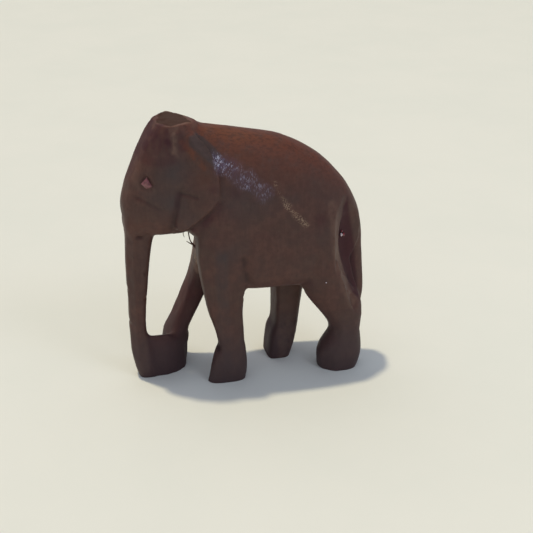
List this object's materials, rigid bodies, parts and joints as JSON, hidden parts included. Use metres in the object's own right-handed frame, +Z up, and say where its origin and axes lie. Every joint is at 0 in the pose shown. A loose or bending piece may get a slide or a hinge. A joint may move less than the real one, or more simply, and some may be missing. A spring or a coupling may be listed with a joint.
{
  "type": "carved wooden elephant figurine",
  "caption": "Small walking elephant carved from one block of stained wood, trunk down to the ground, with inlaid eyes.",
  "frame": {"origin": "on the ground, under the middle of the outline", "axes": "+Z up; the head points to -X and the elephant's left side faces -Y"},
  "size_m": [0.0794, 0.0286, 0.0868],
  "materials": {
    "stained_wood": "dark red-brown stain under uneven varnish",
    "eye_inlay": "dull pink-red, slightly worn"
  },
  "bodies": {
    "root": {"carved_body": "stained_wood", "left_eye": "eye_inlay", "right_eye": "eye_inlay"}
  },
  "joints": []
}
